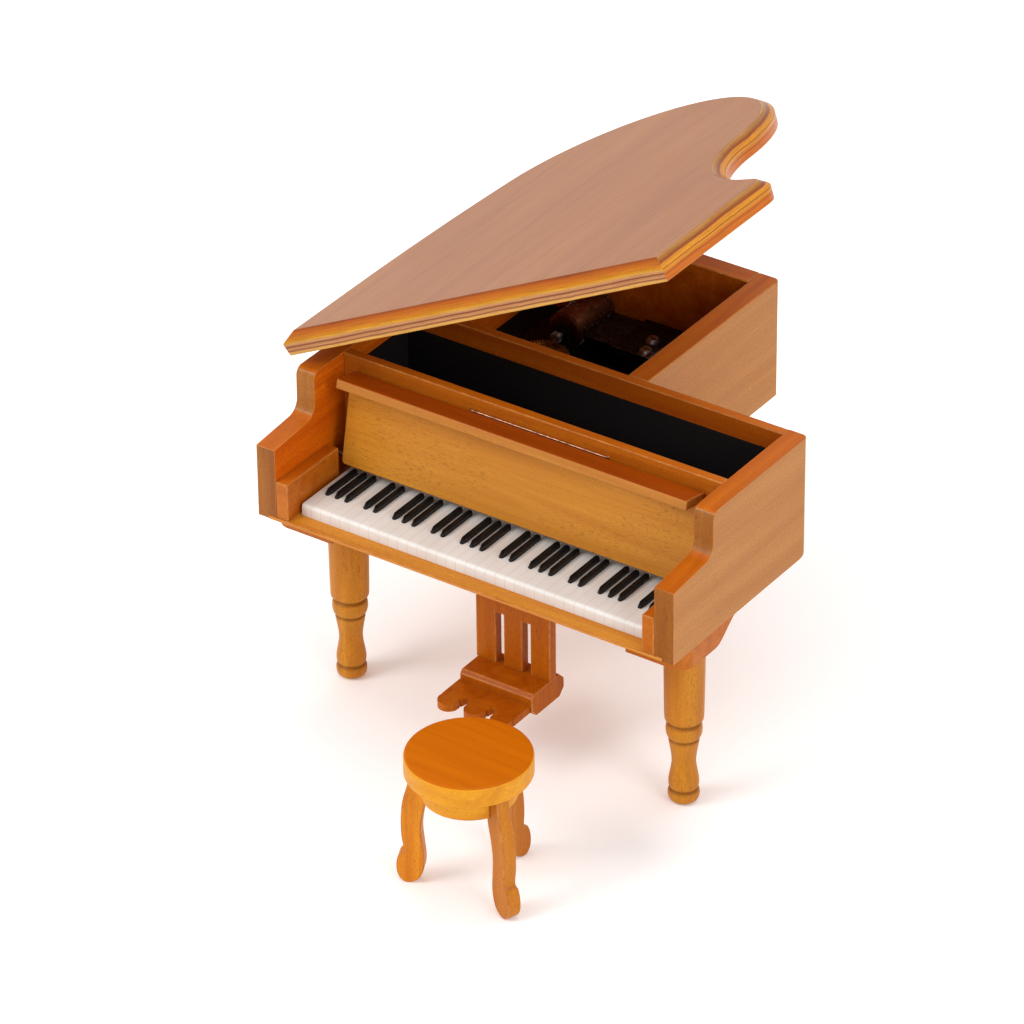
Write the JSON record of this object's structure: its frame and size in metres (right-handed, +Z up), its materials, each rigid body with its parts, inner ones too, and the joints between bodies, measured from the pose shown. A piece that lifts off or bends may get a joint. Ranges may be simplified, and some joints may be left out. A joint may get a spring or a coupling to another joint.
{
  "type": "miniature grand piano",
  "caption": "Wooden miniature grand piano on turned legs with a hinged lid, folding key cover, cylinder musical movement, pedal lyre and round stool.",
  "frame": {"origin": "on the floor, under the middle of the bounding box of the piano with its open lid and its stool", "axes": "+X to the right for a player at the keys, +Y from the keyboard towards the tail, +Z up"},
  "size_m": [0.1656, 0.2594, 0.1984],
  "materials": {
    "case_wood": "clear gloss lacquer over honey-stained wood",
    "lid_wood": "clear gloss lacquer over plywood",
    "cover_wood": "clear gloss lacquer",
    "stool_wood": "clear gloss lacquer",
    "inner_wood": "bare wood",
    "black_lining": "matte flock",
    "white_keys": "gloss",
    "black_keys": "gloss",
    "brass": "satin",
    "cylinder_brass": "satin",
    "steel": "satin",
    "comb_steel": "ground",
    "bedplate": "plain grey"
  },
  "bodies": {
    "case": {"left_side": "case_wood", "right_side": "case_wood", "front_rail": "case_wood", "divider": "case_wood", "tail_side": "case_wood", "back_wall": "case_wood", "bottom_board": "case_wood", "tray_lining": "black_lining", "movement_board": "inner_wood", "bay_lining": "black_lining", "left_key_block": "case_wood", "right_key_block": "case_wood", "white_keys": "white_keys", "black_keys": "black_keys", "rest_wire": "steel", "case_hinge_leaves": "brass", "hinge_pins": "steel", "case_hinge_screws": "brass", "front_left_block": "case_wood", "front_right_block": "case_wood", "rear_block": "case_wood", "front_left_leg": "case_wood", "front_right_leg": "case_wood", "rear_leg": "case_wood", "lyre_plate": "case_wood", "lyre_base": "case_wood", "pedal_plate": "case_wood", "movement_bedplate": "bedplate", "comb": "comb_steel", "comb_screws": "steel", "governor_bracket": "brass"},
    "lid": {"lid_board": "lid_wood", "lid_hinge_leaves": "brass", "lid_hinge_screws": "brass"},
    "key_cover": {"key_cover_panel": "cover_wood", "key_cover_ledge": "cover_wood", "key_cover_pins": "steel"},
    "cylinder": {"pinned_cylinder": "cylinder_brass", "cylinder_arbor": "steel"},
    "barrel": {"spring_barrel": "brass"},
    "governor": {"governor_wheel": "brass"},
    "brake": {"air_brake": "steel"},
    "winder": {"winding_stem": "steel", "winding_key": "steel"},
    "stool": {"stool_seat": "stool_wood", "stool_apron": "stool_wood", "stool_leg_left": "stool_wood", "stool_leg_right": "stool_wood", "stool_leg_back": "stool_wood"}
  },
  "joints": [
    {"name": "lid_swing", "type": "hinge", "parent": "case", "child": "lid", "pos_m": [-0.07881, -0.0077, 0.1183], "axis": [0, -1, 0], "range_deg": [-27, 63]},
    {"name": "key_cover_swing", "type": "hinge", "parent": "case", "child": "key_cover", "pos_m": [0.00279, -0.0311, 0.0838], "axis": [1, 0, 0], "range_deg": [0, 103.5]},
    {"name": "cylinder_spin", "type": "hinge", "parent": "case", "child": "cylinder", "pos_m": [-0.04111, 0.0723, 0.0925], "axis": [0, 1, 0], "continuous": true},
    {"name": "barrel_spin", "type": "hinge", "parent": "case", "child": "barrel", "pos_m": [-0.04111, 0.0478, 0.0873], "axis": [0, 0, 1], "continuous": true},
    {"name": "governor_spin", "type": "hinge", "parent": "case", "child": "governor", "pos_m": [-0.02961, 0.0436, 0.09], "axis": [0, 0, 1], "continuous": true},
    {"name": "brake_spin", "type": "hinge", "parent": "case", "child": "brake", "pos_m": [-0.02362, 0.0436, 0.09], "axis": [0, 0, 1], "continuous": true},
    {"name": "winding", "type": "hinge", "parent": "case", "child": "winder", "pos_m": [-0.04111, 0.0478, 0.066], "axis": [0, 0, 1], "continuous": true},
    {"name": "stool_slide", "type": "slide", "parent": "case", "child": "stool", "axis": [0, 1, 0], "range_m": [-0.02, 0.045]}
  ],
  "couplings": [
    {"joint": "barrel_spin", "follows": "cylinder_spin", "ratio": 0.2},
    {"joint": "governor_spin", "follows": "cylinder_spin", "ratio": -1.2},
    {"joint": "brake_spin", "follows": "cylinder_spin", "ratio": 6}
  ]
}
